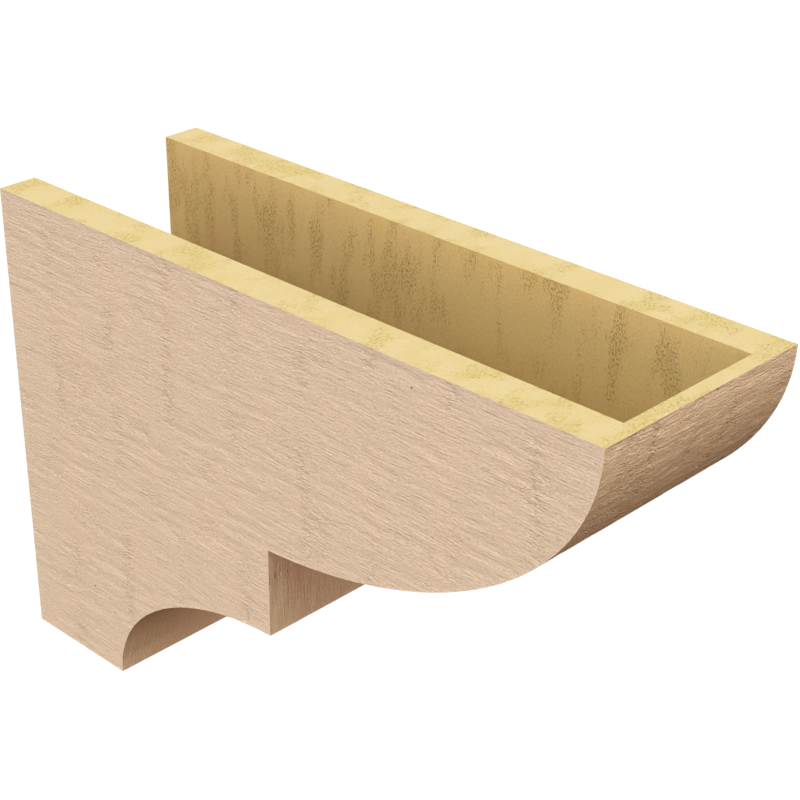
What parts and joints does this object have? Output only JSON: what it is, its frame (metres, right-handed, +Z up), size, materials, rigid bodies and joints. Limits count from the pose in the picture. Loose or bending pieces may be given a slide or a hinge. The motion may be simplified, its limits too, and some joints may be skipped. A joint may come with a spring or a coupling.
{
  "type": "faux cedar corbel",
  "caption": "Hollow moulded wall corbel with a rough-sawn cedar face: thick cheeks, a quarter-round nose, a square step and a cove, open at the top and at the wall.",
  "frame": {"origin": "middle of the strip at the foot of the back face, half the skin above the underside, on the wall plane", "axes": "+Z up, +Y into the wall, nose towards -Y, +X to the right as seen from the nose"},
  "size_m": [0.1524, 0.4572, 0.3048],
  "materials": {
    "cast_cedar": "moulded rough-sawn cedar grain under a flat tan primer, with raw yellow foam on the rim and inside"
  },
  "bodies": {
    "root": {"corbel": "cast_cedar"}
  },
  "joints": []
}
